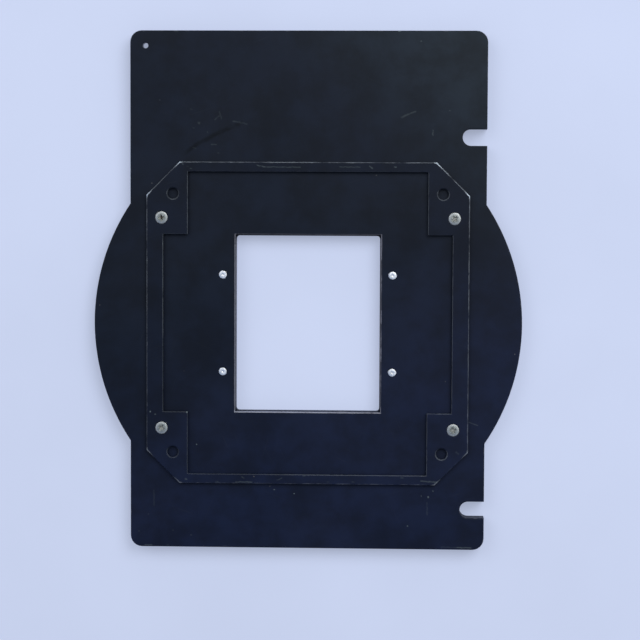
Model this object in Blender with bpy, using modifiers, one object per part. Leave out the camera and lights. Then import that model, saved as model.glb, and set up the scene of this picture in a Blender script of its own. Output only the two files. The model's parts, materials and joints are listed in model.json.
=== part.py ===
"""Negative carrier for a photographic enlarger.

Two flat metal leaves hold roll film between them. The front leaf carries a raised locating
frame, which drops into the round opening of the enlarger's stage, and four guide pins, which
keep the film straight and locate the back leaf. The front leaf lifts off the back leaf.

Metres. X is across the carrier, Y along it, Z up through the leaves, front face up. The origin
is the centre of the carrier's outline, on the surface that the back leaf rests on.
"""

import math

import bmesh
import bpy
from mathutils import Vector

# Leaves
LEAF_WIDTH = 0.1372
LEAF_ABOVE_GATE = 0.1124
LEAF_BELOW_GATE = 0.0874
LEAF_THICKNESS = 0.0032
LEAF_CORNER_RADIUS = 0.0044
LOBE_OVERHANG = 0.0140
EDGE_BREAK = 0.0003
FILM_GAP = 0.0003

# Slots in the right edge, and the hole that the carrier hangs by
SLOT_WIDTH = 0.0064
SLOT_DEPTH = 0.0094
SLOT_FROM_BOTTOM = 0.0156
HANG_HOLE_DIAMETER = 0.0021
HANG_HOLE_FROM_SIDE = 0.0059
HANG_HOLE_FROM_TOP = 0.0058

# Roll film, and the gate: the picture window, which is slightly larger in the front leaf
FILM_WIDTH = 0.0615
FILM_PLAY = 0.0008
FILM_MARGIN = 0.00295
GATE_HEIGHT = 0.0677
GATE_CORNER_RADIUS = 0.0012
FRONT_GATE_MARGIN = 0.0004
FRONT_GATE_FLARE = 0.0006

# Locating frame, whose corners lie a little inside the circle of the lobes
FRAME_CORNER_INSET = 0.0032
FRAME_THICKNESS = 0.0016
FRAME_CORNER_CUT = 0.0128
FRAME_SIDE_RAIL = 0.0065
FRAME_END_RAIL = 0.0038
FRAME_PAD_WIDTH = 0.0160
FRAME_PAD_LENGTH = 0.0279
CORNER_HOLE_DIAMETER = 0.0044
CORNER_HOLE_CHAMFER = 0.0005
CORNER_HOLE_FROM_SIDE = 0.0102
CORNER_HOLE_FROM_END = 0.0122

# Countersunk screws that hold the frame
SCREW_FROM_SIDE = 0.0058
SCREW_FROM_END = 0.0215
SCREW_HEAD_DIAMETER = 0.0050
SCREW_HEAD_LAND = 0.0001
SCREW_HEAD_SINK = 0.00005
SCREW_SHANK_DIAMETER = 0.0025
SCREW_TIP_CHAMFER = 0.0003
SCREW_TIP_SHORT = 0.0005
RECESS_LENGTH = 0.0029
RECESS_FLOOR_LENGTH = 0.0011
RECESS_WIDTH = 0.0007
RECESS_FLOOR_WIDTH = 0.0004
RECESS_DEPTH = 0.0010

# Guide pins for the film, pressed into the front leaf
PIN_DIAMETER = 0.0032
PIN_SPACING_Y = 0.0375
PIN_DOME = 0.0002
PIN_DIMPLE_DIAMETER = 0.0008
PIN_DIMPLE_DEPTH = 0.00015
PIN_TIP_CHAMFER = 0.0004
PIN_TIP_SHORT = 0.0006

# Clearances and the overrun of every cutter
SEAT_GAP = 0.0003
PIN_CLEARANCE = 0.0004
OVERRUN = 0.001

# Facets
LOBE_STEPS = 32
CORNER_STEPS = 6
SLOT_STEPS = 16
ROUND_STEPS = 32
DOME_STEPS = 4
SHARP_ANGLE = math.radians(30)
MERGE_DISTANCE = 0.00001

# Turn of each screw's cross recess in degrees, and the sides that each corner lies on
SCREW_TURN = {"top_left": 4, "top_right": 37, "bottom_left": 62, "bottom_right": 18}
CORNERS = {"top_left": (-1, 1), "top_right": (1, 1), "bottom_left": (-1, -1), "bottom_right": (1, -1)}
SQUARE_WALK = ((1, 1), (-1, 1), (-1, -1), (1, -1))

# Levels and places worked out from the sizes
BACK_TOP = LEAF_THICKNESS
FRONT_BASE = BACK_TOP + FILM_GAP
FRONT_TOP = FRONT_BASE + LEAF_THICKNESS
FRAME_BASE = FRONT_TOP + SEAT_GAP
FRAME_TOP = FRAME_BASE + FRAME_THICKNESS
GATE_CENTRE = Vector((0, (LEAF_BELOW_GATE - LEAF_ABOVE_GATE) / 2, 0))
LOBE_RADIUS = LEAF_WIDTH / 2 + LOBE_OVERHANG
SLOT_SPACING = 2 * (LEAF_BELOW_GATE - SLOT_FROM_BOTTOM)
GATE_WIDTH = FILM_WIDTH - 2 * FILM_MARGIN
FRONT_GATE_WIDTH = GATE_WIDTH + 2 * FRONT_GATE_MARGIN
FRONT_GATE_HEIGHT = GATE_HEIGHT + 2 * FRONT_GATE_MARGIN
FRAME_CORNER_RADIUS = LOBE_RADIUS - FRAME_CORNER_INSET
FRAME_SIZE = FRAME_CORNER_CUT + math.sqrt(2 * FRAME_CORNER_RADIUS**2 - FRAME_CORNER_CUT**2)
CORNER_HOLE_SPACING_X = FRAME_SIZE - 2 * CORNER_HOLE_FROM_SIDE
CORNER_HOLE_SPACING_Y = FRAME_SIZE - 2 * CORNER_HOLE_FROM_END
SCREW_SPACING_X = FRAME_SIZE - 2 * SCREW_FROM_SIDE
SCREW_SPACING_Y = FRAME_SIZE - 2 * SCREW_FROM_END
SCREW_HEAD_TOP = FRAME_TOP - SCREW_HEAD_SINK
SCREW_LENGTH = SCREW_HEAD_TOP - FRONT_BASE - SCREW_TIP_SHORT
PIN_SPACING_X = FILM_WIDTH + FILM_PLAY + PIN_DIAMETER
PIN_LENGTH = FRONT_TOP + PIN_DOME - PIN_TIP_SHORT


def clear_scene():
    for obj in list(bpy.data.objects):
        bpy.data.objects.remove(obj, do_unlink=True)


def new_collection(name):
    collection = bpy.data.collections.new(name)
    bpy.context.scene.collection.children.link(collection)
    return collection


def new_material(name, colour, roughness, metallic):
    material = bpy.data.materials.new(name)
    material.use_nodes = True
    shader = material.node_tree.nodes["Principled BSDF"]
    shader.inputs["Base Color"].default_value = (*colour, 1)
    shader.inputs["Roughness"].default_value = roughness
    shader.inputs["Metallic"].default_value = metallic
    return material


def new_object(name, mesh, collection, location=(0, 0, 0)):
    obj = bpy.data.objects.new(name, mesh)
    obj.location = location
    collection.objects.link(obj)
    return obj


def evaluated_mesh(obj):
    """The mesh of an object or curve with its modifiers, welded and shaded by angle."""
    bpy.context.view_layer.update()
    graph = bpy.context.evaluated_depsgraph_get()
    mesh = bpy.data.meshes.new_from_object(obj.evaluated_get(graph))
    welded = bmesh.new()
    welded.from_mesh(mesh)
    bmesh.ops.remove_doubles(welded, verts=welded.verts, dist=MERGE_DISTANCE)
    welded.to_mesh(mesh)
    welded.free()
    mesh.shade_smooth()
    mesh.set_sharp_from_angle(angle=SHARP_ANGLE)
    return mesh


def arc(centre, radius, start, end, steps):
    """Points on a circle from one angle to another, in degrees, both ends included."""
    points = []
    for step in range(steps + 1):
        angle = math.radians(start + (end - start) * step / steps)
        points.append(Vector(centre) + radius * Vector((math.cos(angle), math.sin(angle))))
    return points


def rectangle(half_x, half_y):
    return [Vector((side_x * half_x, side_y * half_y)) for side_x, side_y in SQUARE_WALK]


def rounded_rectangle(half_x, half_y, radius):
    points = []
    for turn, (side_x, side_y) in enumerate(SQUARE_WALK):
        centre = (side_x * (half_x - radius), side_y * (half_y - radius))
        points += arc(centre, radius, 90 * turn, 90 * turn + 90, CORNER_STEPS)
    return points


def slot_outline(middle):
    """A round-ended slot in from the right edge, walked upwards."""
    half = SLOT_WIDTH / 2
    edge = LEAF_WIDTH / 2
    end = arc((edge - SLOT_DEPTH + half, middle), half, 270, 90, SLOT_STEPS)
    return [Vector((edge, middle - half)), *end, Vector((edge, middle + half))]


def leaf_outline():
    """The leaf's edge, anticlockwise about the gate: a plate with a round lobe on each side."""
    side = LEAF_WIDTH / 2
    inset = side - LEAF_CORNER_RADIUS
    top = LEAF_ABOVE_GATE - LEAF_CORNER_RADIUS
    bottom = LEAF_CORNER_RADIUS - LEAF_BELOW_GATE
    lobe = math.degrees(math.acos(side / LOBE_RADIUS))
    points = arc((inset, bottom), LEAF_CORNER_RADIUS, 270, 360, CORNER_STEPS)
    points += slot_outline(-SLOT_SPACING / 2)
    points += arc((0, 0), LOBE_RADIUS, -lobe, lobe, LOBE_STEPS)
    points += slot_outline(SLOT_SPACING / 2)
    points += arc((inset, top), LEAF_CORNER_RADIUS, 0, 90, CORNER_STEPS)
    points += arc((-inset, top), LEAF_CORNER_RADIUS, 90, 180, CORNER_STEPS)
    points += arc((0, 0), LOBE_RADIUS, 180 - lobe, 180 + lobe, LOBE_STEPS)
    points += arc((-inset, bottom), LEAF_CORNER_RADIUS, 180, 270, CORNER_STEPS)
    return points


def hang_hole_outline():
    centre = (HANG_HOLE_FROM_SIDE - LEAF_WIDTH / 2, LEAF_ABOVE_GATE - HANG_HOLE_FROM_TOP)
    return arc(centre, HANG_HOLE_DIAMETER / 2, 0, 360, ROUND_STEPS)[:-1]


def frame_outline():
    """A square with its corners cut at 45 degrees."""
    half = FRAME_SIZE / 2
    flat = half - FRAME_CORNER_CUT
    corners = ((half, -flat), (half, flat), (flat, half), (-flat, half))
    opposite = ((-half, flat), (-half, -flat), (-flat, -half), (flat, -half))
    return [Vector(point) for point in corners + opposite]


def frame_opening():
    """The cross-shaped opening that the rails and the four corner pads leave."""
    half = FRAME_SIZE / 2
    side = half - FRAME_SIDE_RAIL
    end = half - FRAME_END_RAIL
    pad_x = half - FRAME_PAD_WIDTH
    pad_y = half - FRAME_PAD_LENGTH
    right = ((pad_x, -end), (pad_x, -pad_y), (side, -pad_y), (side, pad_y), (pad_x, pad_y), (pad_x, end))
    left = [(-x, -y) for x, y in right]
    return [Vector(point) for point in (*right, *left)]


def flat_plate(name, outlines, thickness, base, collection):
    """A plate cut to its outlines, the first outside and the others holes, with broken edges."""
    curve = bpy.data.curves.new(name + "_outline", "CURVE")
    curve.dimensions = "2D"
    curve.fill_mode = "BOTH"
    curve.extrude = thickness / 2 - EDGE_BREAK
    curve.bevel_depth = EDGE_BREAK
    curve.bevel_resolution = 0
    curve.offset = -EDGE_BREAK
    for outline in outlines:
        spline = curve.splines.new("POLY")
        spline.points.add(len(outline) - 1)
        for point, place in zip(spline.points, outline):
            point.co = (place.x, place.y, 0, 1)
        spline.use_cyclic_u = True
    middle = GATE_CENTRE + Vector((0, 0, base + thickness / 2))
    drawn = new_object(name + "_outline", curve, collection, middle)
    plate = new_object(name, evaluated_mesh(drawn), collection)
    plate.matrix_world = drawn.matrix_world
    bpy.data.objects.remove(drawn)
    bpy.data.curves.remove(curve)
    return plate


def turned_mesh(name, profile, collection):
    """A profile of (radius, height) points, from the top down, turned about Z."""
    mesh = bpy.data.meshes.new(name + "_profile")
    edges = [(index, index + 1) for index in range(len(profile) - 1)]
    mesh.from_pydata([(radius, 0, height) for radius, height in profile], edges, [])
    turned = new_object(name + "_profile", mesh, collection)
    screw = turned.modifiers.new("turn", "SCREW")
    screw.steps = ROUND_STEPS
    screw.render_steps = ROUND_STEPS
    screw.use_merge_vertices = True
    screw.merge_threshold = MERGE_DISTANCE
    result = evaluated_mesh(turned)
    bpy.data.objects.remove(turned)
    bpy.data.meshes.remove(mesh)
    result.name = name
    return result


def corner_places(spacing_x, spacing_y, height):
    """The place of each of four like pieces, set in a rectangle about the gate's centre."""
    places = {}
    for corner, (side_x, side_y) in CORNERS.items():
        offset = Vector((side_x * spacing_x / 2, side_y * spacing_y / 2, height))
        places[corner] = GATE_CENTRE + offset
    return places


def copies_mesh(name, mesh, places):
    """One mesh that holds a copy of another at each place."""
    joined = bmesh.new()
    for place in places:
        count = len(joined.verts)
        joined.from_mesh(mesh)
        joined.verts.ensure_lookup_table()
        bmesh.ops.translate(joined, verts=joined.verts[count:], vec=place)
    result = bpy.data.meshes.new(name)
    joined.to_mesh(result)
    joined.free()
    return result


def tapered_block_mesh(name, top, floor, depth):
    """A block whose sides taper from the (x, y) size of its top, at height 0, to its floor's."""
    block = bmesh.new()
    bmesh.ops.create_cube(block, size=1)
    for vert in block.verts:
        size = top if vert.co.z > 0 else floor
        vert.co.x *= size[0]
        vert.co.y *= size[1]
        vert.co.z = 0 if vert.co.z > 0 else -depth
    mesh = bpy.data.meshes.new(name)
    block.to_mesh(mesh)
    block.free()
    return mesh


def cut(piece, name, mesh, cutters, location=(0, 0, 0), turn=0):
    """Cuts a mesh out of a piece, and keeps it as a hidden cutter."""
    cutter = new_object(name, mesh, cutters, location)
    cutter.rotation_euler.z = turn
    cutter.hide_render = True
    cutter.display_type = "WIRE"
    boolean = piece.modifiers.new(name, "BOOLEAN")
    boolean.operation = "DIFFERENCE"
    boolean.object = cutter
    return cutter


def cut_round_holes(piece, name, diameter, places, low, high, parts, cutters):
    """Cuts plain round holes from below one level to above another."""
    radius = diameter / 2
    top = high + OVERRUN
    bottom = low - OVERRUN
    hole = turned_mesh(name + "_hole", ((0, top), (radius, top), (radius, bottom), (0, bottom)), parts)
    cut(piece, name + "_holes", copies_mesh(name + "_holes", hole, places), cutters)


def screw_profile(clearance, rise, drop):
    """A countersunk screw from its head's top down, grown by a clearance and longer at both ends."""
    head = SCREW_HEAD_DIAMETER / 2 + clearance
    shank = SCREW_SHANK_DIAMETER / 2 + clearance
    neck = SCREW_HEAD_LAND + head - shank
    tip = SCREW_LENGTH + drop
    chamfer = SCREW_TIP_CHAMFER
    sides = ((head, -SCREW_HEAD_LAND), (shank, -neck), (shank, chamfer - tip), (shank - chamfer, -tip))
    return ((0, rise), (head, rise), *sides, (0, -tip))


def cut_screw_holes(piece, name, parts, cutters):
    """Cuts the room that the frame's screws take, down through the front plate's back."""
    drop = SCREW_TIP_SHORT + SCREW_TIP_CHAMFER + OVERRUN
    hole = turned_mesh(name + "_hole", screw_profile(SEAT_GAP, OVERRUN, drop), parts)
    places = corner_places(SCREW_SPACING_X, SCREW_SPACING_Y, SCREW_HEAD_TOP).values()
    cut(piece, name + "_holes", copies_mesh(name + "_holes", hole, places), cutters)


def make_back_plate(parts, cutters):
    gate = rounded_rectangle(GATE_WIDTH / 2, GATE_HEIGHT / 2, GATE_CORNER_RADIUS)
    plate = flat_plate("back_plate", (leaf_outline(), gate, hang_hole_outline()), LEAF_THICKNESS, 0, parts)
    pins = corner_places(PIN_SPACING_X, PIN_SPACING_Y, 0).values()
    clearance = PIN_DIAMETER + 2 * PIN_CLEARANCE
    cut_round_holes(plate, "pin_clearance", clearance, pins, 0, BACK_TOP, parts, cutters)
    plate.data.materials.append(new_material("back_plate_black", (0.013, 0.013, 0.015), 0.42, 0.3))


def make_front_plate(parts, cutters):
    gate = rectangle(FRONT_GATE_WIDTH / 2, FRONT_GATE_HEIGHT / 2)
    outlines = (leaf_outline(), gate, hang_hole_outline())
    plate = flat_plate("front_plate", outlines, LEAF_THICKNESS, FRONT_BASE, parts)
    reach = 2 * (FRONT_GATE_FLARE + OVERRUN)
    mouth = (FRONT_GATE_WIDTH + reach, FRONT_GATE_HEIGHT + reach)
    flare = tapered_block_mesh("gate_flare", mouth, (FRONT_GATE_WIDTH, FRONT_GATE_HEIGHT), reach / 2)
    cut(plate, "gate_flare", flare, cutters, GATE_CENTRE + Vector((0, 0, FRONT_TOP + OVERRUN)))
    pins = corner_places(PIN_SPACING_X, PIN_SPACING_Y, 0).values()
    seat = PIN_DIAMETER + 2 * SEAT_GAP
    cut_round_holes(plate, "pin_seat", seat, pins, FRONT_BASE, FRONT_TOP, parts, cutters)
    cut_screw_holes(plate, "tapped", parts, cutters)
    plate.data.materials.append(new_material("front_plate_black", (0.013, 0.013, 0.015), 0.4, 0.3))


def make_locating_frame(parts, cutters):
    outlines = (frame_outline(), frame_opening())
    frame = flat_plate("locating_frame", outlines, FRAME_THICKNESS, FRAME_BASE, parts)
    radius = CORNER_HOLE_DIAMETER / 2
    mouth = radius + CORNER_HOLE_CHAMFER + OVERRUN
    bottom = -FRAME_THICKNESS - OVERRUN
    sides = ((mouth, OVERRUN), (radius, -CORNER_HOLE_CHAMFER), (radius, bottom))
    hole = turned_mesh("corner_hole", ((0, OVERRUN), *sides, (0, bottom)), parts)
    places = corner_places(CORNER_HOLE_SPACING_X, CORNER_HOLE_SPACING_Y, FRAME_TOP).values()
    cut(frame, "corner_holes", copies_mesh("corner_holes", hole, places), cutters)
    cut_screw_holes(frame, "countersunk", parts, cutters)
    frame.data.materials.append(new_material("locating_frame_black", (0.012, 0.012, 0.014), 0.38, 0.3))


def make_frame_screws(parts, cutters):
    blank = new_object("screw_blank", turned_mesh("screw_blank", screw_profile(0, 0, 0), parts), parts)
    scale = (RECESS_DEPTH + OVERRUN) / RECESS_DEPTH
    length = RECESS_FLOOR_LENGTH + (RECESS_LENGTH - RECESS_FLOOR_LENGTH) * scale
    width = RECESS_FLOOR_WIDTH + (RECESS_WIDTH - RECESS_FLOOR_WIDTH) * scale
    floor = (RECESS_FLOOR_LENGTH, RECESS_FLOOR_WIDTH)
    wing = tapered_block_mesh("recess_wing", (length, width), floor, RECESS_DEPTH + OVERRUN)
    wings = []
    for number, turn in enumerate((0, math.pi / 2)):
        wings.append(cut(blank, f"recess_wing_{number}", wing, cutters, (0, 0, OVERRUN), turn))
    mesh = evaluated_mesh(blank)
    mesh.name = "frame_screw"
    for used in (blank, *wings):
        bpy.data.objects.remove(used)
    mesh.materials.append(new_material("screw_zinc", (0.36, 0.37, 0.38), 0.35, 0.9))
    for corner, place in corner_places(SCREW_SPACING_X, SCREW_SPACING_Y, SCREW_HEAD_TOP).items():
        screw = new_object("frame_screw_" + corner, mesh, parts, place)
        screw.rotation_euler.z = math.radians(SCREW_TURN[corner])


def pin_profile():
    """A pin from its dimpled dome down to its chamfered tip, height 0 at the front face."""
    radius = PIN_DIAMETER / 2
    tip = PIN_DOME - PIN_LENGTH
    dimple = PIN_DIMPLE_DIAMETER / 2
    dome = []
    for step in range(DOME_STEPS + 1):
        share = step / DOME_STEPS
        dome.append((dimple + (radius - dimple) * share, PIN_DOME * math.sqrt(1 - share * share)))
    sides = ((radius, tip + PIN_TIP_CHAMFER), (radius - PIN_TIP_CHAMFER, tip), (0, tip))
    return ((0, PIN_DOME - PIN_DIMPLE_DEPTH), *dome, *sides)


def make_guide_pins(parts):
    mesh = turned_mesh("guide_pin", pin_profile(), parts)
    mesh.materials.append(new_material("pin_steel", (0.62, 0.63, 0.65), 0.28, 1))
    for corner, place in corner_places(PIN_SPACING_X, PIN_SPACING_Y, FRONT_TOP).items():
        new_object("guide_pin_" + corner, mesh, parts, place)


def main():
    clear_scene()
    parts = new_collection("negative_carrier")
    cutters = new_collection("cutters")
    make_back_plate(parts, cutters)
    make_front_plate(parts, cutters)
    make_locating_frame(parts, cutters)
    make_frame_screws(parts, cutters)
    make_guide_pins(parts)


main()
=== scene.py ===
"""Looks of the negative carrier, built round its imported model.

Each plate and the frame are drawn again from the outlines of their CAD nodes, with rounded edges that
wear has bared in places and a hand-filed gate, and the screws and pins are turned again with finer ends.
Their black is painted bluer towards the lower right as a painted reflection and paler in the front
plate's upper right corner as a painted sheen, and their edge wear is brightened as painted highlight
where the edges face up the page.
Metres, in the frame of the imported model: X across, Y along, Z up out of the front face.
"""

import json
import math

import bmesh
import bpy
from mathutils import Matrix, Vector, noise
from mathutils.geometry import delaunay_2d_cdt

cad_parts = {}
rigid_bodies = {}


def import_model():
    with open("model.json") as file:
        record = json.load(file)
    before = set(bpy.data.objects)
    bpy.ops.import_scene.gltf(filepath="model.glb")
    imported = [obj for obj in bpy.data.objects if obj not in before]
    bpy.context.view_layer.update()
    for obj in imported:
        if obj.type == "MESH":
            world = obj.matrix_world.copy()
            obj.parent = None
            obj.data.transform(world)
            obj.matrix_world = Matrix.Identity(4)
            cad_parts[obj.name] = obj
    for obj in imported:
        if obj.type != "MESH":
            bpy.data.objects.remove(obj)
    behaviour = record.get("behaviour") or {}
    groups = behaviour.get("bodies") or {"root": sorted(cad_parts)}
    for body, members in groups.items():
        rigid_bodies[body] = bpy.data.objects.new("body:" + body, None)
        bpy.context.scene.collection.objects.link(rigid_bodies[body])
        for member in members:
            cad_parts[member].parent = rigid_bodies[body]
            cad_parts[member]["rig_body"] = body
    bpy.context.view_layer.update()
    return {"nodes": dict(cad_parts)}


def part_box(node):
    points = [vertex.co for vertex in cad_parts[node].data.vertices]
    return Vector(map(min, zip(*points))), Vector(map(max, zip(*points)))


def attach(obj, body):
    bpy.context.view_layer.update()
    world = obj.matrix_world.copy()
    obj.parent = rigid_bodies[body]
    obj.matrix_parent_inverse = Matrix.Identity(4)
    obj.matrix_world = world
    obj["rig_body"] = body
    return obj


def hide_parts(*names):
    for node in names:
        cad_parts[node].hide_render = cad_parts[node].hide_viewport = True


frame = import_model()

# Camera: the point it turns about, the part's turn in its view in degrees, and its place from there
CAMERA_AIM = Vector((0, -0.0125, 0.0067))
CAMERA_TURN = (("Z", -0.2601), ("X", 3.4407), ("Y", -2.2929))
CAMERA_OFFSET = Vector((0.004848, 0.0014046, 0.771873))
LENS_MM = 112.5
SENSOR_MM = 36

# Light: large lamps high to the upper left and right, and a plain sky, graded where it is mirrored
LAMP_PLACES = {"lamp_left": (-0.66, 0.54, 1.0), "lamp_right": (0.50, 0.58, 1.0)}
LAMP_POWERS = {"lamp_left": 4.4, "lamp_right": 11.0}
LAMP_SIZE = 0.9
SKY_LIGHT = (0.40, 0.40, 0.40, 1)
SKY_SEEN = (0.66, 0.73, 0.92, 1)
SKY_MIRRORED = ((0.17, 0.28, 0.56, 1), (0.60, 0.74, 0.76, 1))
SKY_SLOPE = (0.6, 1, 0)
SKY_SLOPE_ENDS = (-0.8, 0.8)

# Meshes: how close points are merged, and how finely edges and round pieces are drawn
WELD = 0.00001
RECESS_WELD = 0.000002
EDGE_STEP = 0.0012
EDGE_TILTS = (0, 30, 60, 90)
ROUND_STEPS = 64
SHARP_ANGLE = math.radians(35)

# Edges: how far they are rounded, the flat band inside that, and how unevenly wear has shaped them
EDGE_BREAK = 0.0003
EDGE_LAP = 0.0001
EDGE_SWAY = 0.00007
GATE_SWAY = 0.00006
SWAY_LENGTH = 0.0040

# Gate: its centre, the front gate's left side and flare, and how much lower the back gate ends
GATE_CENTRE = Vector((0, -0.0125))
GATE_LEFT = -0.0285
GATE_REACH = 0.0006
FLARE_START = 0.0002
FLARE_DEPTH = 0.0005
FLARE_BOW = 0.42
BACK_GATE_LOWER = 0.0003

# Round holes: seats for pins and screws, the frame's corner holes, and the hanging hole
PIN_SEAT_RADIUS = 0.00164
HEAD_SEAT_RADIUS = 0.00252
HEAD_SEAT_LAND = 0.00026
CORNER_HOLE_CHAMFER = 0.0006
CORNER_HOLE_TIGHTER = 0.0002
HANG_HOLE = Vector((-0.0627, 0.0941))
HANG_HOLE_RADIUS = 0.00105
BACK_HOLE_WIDER = 0.0008

# Screws, from the frame's face down, the turn of each one's recess in degrees, and the dirt in it
HEAD_RADIUS = 0.0024
SHANK_RADIUS = 0.00125
HEAD_DOME = 0.00016
HEAD_DOME_SHARES = (0, 0.25, 0.5, 0.75)
HEAD_SINK = 0.00001
HEAD_ROUND = 0.00018
RECESS_LENGTH = 0.0023
RECESS_WIDTH = 0.00080
RECESS_FLOOR_LENGTH = 0.0009
RECESS_FLOOR_WIDTH = 0.00040
RECESS_DEPTH = 0.0010
RECESS_OVERRUN = 0.0010
RECESS_BREAK = 0.00005
RECESS_BREAK_STEPS = 2
TIP_CHAMFER = 0.0003
SCREW_TURNS = {"top_left": 12, "top_right": 37, "bottom_left": 62, "bottom_right": 18}
SCREW_DIRT = {"top_left": 1.0, "top_right": 0.0, "bottom_left": 0.1, "bottom_right": 0.1}

# Guide pins, whose ends are turned: radius, and height as a share of the pin's rise from the plate
PIN_RADIUS = 0.00150
PIN_ROUND = 0.00008
PIN_END = ((0, 0.15), (0.00010, 0.18), (0.00034, 0.84), (0.00044, 0.95), (0.00065, 1))
PIN_DIMPLE = 0.00025

# In the groups below, noise has a size in metres, a detail, and in most a roughness. A smooth step
# has its two ends, and after them what it gives there, unless that is zero and one. A pattern is
# noise with the step that it goes through, and a bump has a depth in metres and a strength.
NOISE_MIDDLE = 0.5

# Black finish: its patterns, and how strongly each shows
BLACK_SPECULAR = 0.14
MOTTLE = ((0.014, 4, 0.6), (0.3, 0.7, 0.70, 1.32))
SMUDGES = ((0.055, 4, 0.55), (0.35, 0.65, 0.38, 0.47))
GRAIN = (0.00065, 4, 0.65)
FINE_GRAIN = (0.0002, 2)
GRAIN_ROUGHNESS = 0.06
GRAIN_HEIGHT = 0.7
FINE_GRAIN_HEIGHT = 0.3
BLACK_BUMP = (0.00003, 0.35)
HAIRLINE_TURNS = (0.45, -0.35, 1.15, -1.3)
HAIRLINE_COURSE = ((0.012, 0.30, 1), 0, 0.5)
HAIRLINE_WIDTH = (0.0030, 0.0008)
HAIRLINE_BREAKS = ((0.016, 0.016, 1), 2, 0.6)
HAIRLINE_PIECES = (0.56, 0.66)
HAIRLINE_SHARE = 0.10
DUST_CELLS = 150.0
DUST_CHOSEN = (0.80, 0.84)
DUST_SPOT = (0.045, 0.020)
DUST_SHARE = 0.5
BARE_METALLIC = 0.85
WORN_SMOOTHER = 0.10
POLISHED_DARKER = 0.5
POLISHED_SMOOTHER = 0.10

# Painted light on the black: a painted blue reflection, bluer towards the lower right, and a painted
# sheen, paler in the front plate's upper right corner
PAINTED_REFLECTION_SLOPE = 0.4
PAINTED_REFLECTION_BAND = (0.02, -0.07)
PAINTED_SHEEN_BAND = (0.070, 0.165)

# Scuffs: how far their edges wander, how soft they are for their width, and how they are broken
MILLIMETRE = 0.001
MARK_SHAKES = {"Scale": 900.0, "Detail": 2.0}
MARK_SHAKE_REACH = 0.0006
MARK_SOFTNESS = 1.5
MARK_PIECES = ((0.0009, 2), (0.30, 0.52, 0.45, 1.0))

# The arc that the enlarger's stage, rubbing on the front plate, has left about the gate's centre
STAGE_RING = 0.0809
RING_RAGGED = (0.004, 3)
RING_RAGGED_REACH = 0.0012
RING_WIDTH = (0.0013, 0.0003)
RING_LEFT_END = (-0.050, -0.045)
RING_RIGHT_END = (-0.010, -0.032)
RING_LOWER_END = (0.0, 0.01)
RING_PIECES = ((0.005, 2), (0.36, 0.60, 0.25, 1.15))

# Wear of any edge: its lean, from upright at zero to flat at one, and how far it faces up the page,
# which scales it as painted highlight
CHAMFER_FROM_UPRIGHT = (0.12, 0.35)
CHAMFER_FROM_FLAT = (0.995, 0.93)
PAINTED_HIGHLIGHT_BY_FACING = (-0.6, -0.1, 0.15, 1.0)

# The paler metal wall of the hanging hole: its lean, and how far it reaches from the hole's centre
DRILLED_LEAN = (0.6, 0.4)
DRILLED_REACH = (1.25 * HANG_HOLE_RADIUS, 1.15 * HANG_HOLE_RADIUS)

# Wear of the front plate: its outer edges, and its gate's flare, lower side, left side and right side;
# the lower side, facing up the page, is partly painted highlight
PLATE_EDGE_WEAR = ((0.0033, 4, 0.65), (0.48, 0.70))
PLATE_EDGE_STRENGTH = 0.15
FLARE_AROUND_X = (0.0300, 0.0296)
FLARE_AROUND_Y = (0.0362, 0.0358)
FLARE_DROP = (0.0007, 0.0006)
FLARE_LOWER = (-0.0336, -0.0340)
FLARE_LOWER_BY_X = (-0.010, 0.026, 0.85, 0.5)
FLARE_LEFT = (-0.0274, -0.0278, 0.10, 0.30)
FLARE_RIGHT = (0.0278, 0.0283, 0.10)
FLARE_RIGHT_PATCHES = ((0.0075, 2), (0.42, 0.58, 0.05, 0.45))
FLARE_FILING = ((0.0024, 4, 0.65), (0.22, 0.50))

# Wear of the back plate: its outer edges, with painted highlight where they face up the page, and the
# rim that shows inside the front plate's gate
BACK_EDGE_WEAR = ((0.0036, 4, 0.65), (0.50, 0.72))
BACK_EDGE_STRENGTH = 0.25
RIM_AROUND_X = (0.0292, 0.0288)
RIM_AROUND_Y = (0.0354, 0.0350)
RIM_STRAIGHT_Y = (0.0332, 0.0322)
RIM_LEFT = (-0.0281, -0.0272, 0.20, 0.50)
RIM_LEFT_END = (-0.0262, -0.0266)
RIM_STRENGTH = 0.16

# Wear of the frame, with painted highlight towards the top and upper right and where edges face up the
# page: its rim by place and by facing, its slants and corners, and its inner edges
FRAME_CORNER_CUT = 0.0128
FRAME_RAGGED = (0.0019, 4, 0.65)
FRAME_RAGGED_REACH = 0.0006
FRAME_WEAR_DROP = (0.0008, 0.0003)
FRAME_WEAR_SHARES = (0.15, 1.0)
FRAME_RIM = (0.00012, -0.00012)
FRAME_RIM_PIECES = ((0.0077, 4, 0.65), (0.30, 0.62))
FRAME_RIM_BY_X = (-0.06, 0.06, 0.18, 0.21)
FRAME_RIM_BY_Y = (-0.06, 0.06, 0.8, 1.2)
FRAME_RIM_DOWN_PAGE = (-0.55, -0.1, 0.08, 1.0)
FRAME_RIM_UP_PAGE = (0.75, 0.95, 1.0, 0.6)
SLANT_REACH = (0.0020, 0.0005)
SLANT_BY_X = (-0.04, 0.04, 1.2, 1.9)
SLANT_BY_Y = (-0.04, 0.0, 0.1, 1.0)
CORNER_STRAIGHT_SHARE = 0.7
CORNER_SLANT_SHARE = 1.7
CORNER_REACH = (0.0026, 0.0004)
CORNER_RIM = (0.0003, 0.0)
CORNER_BY_Y = (-0.05, 0.05, 0.28, 0.85)
INNER_EDGE_WEAR = ((0.0042, 4, 0.65), (0.20, 0.55))
INNER_EDGE_STRENGTH = 0.13
INNER_EDGE_REACH = (0.002, 0.003)
LOWER_LEFT_X = (0.0, -0.02)
LOWER_LEFT_Y = (0.0, -0.01)
LOWER_LEFT_SHARE = 0.5
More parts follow.
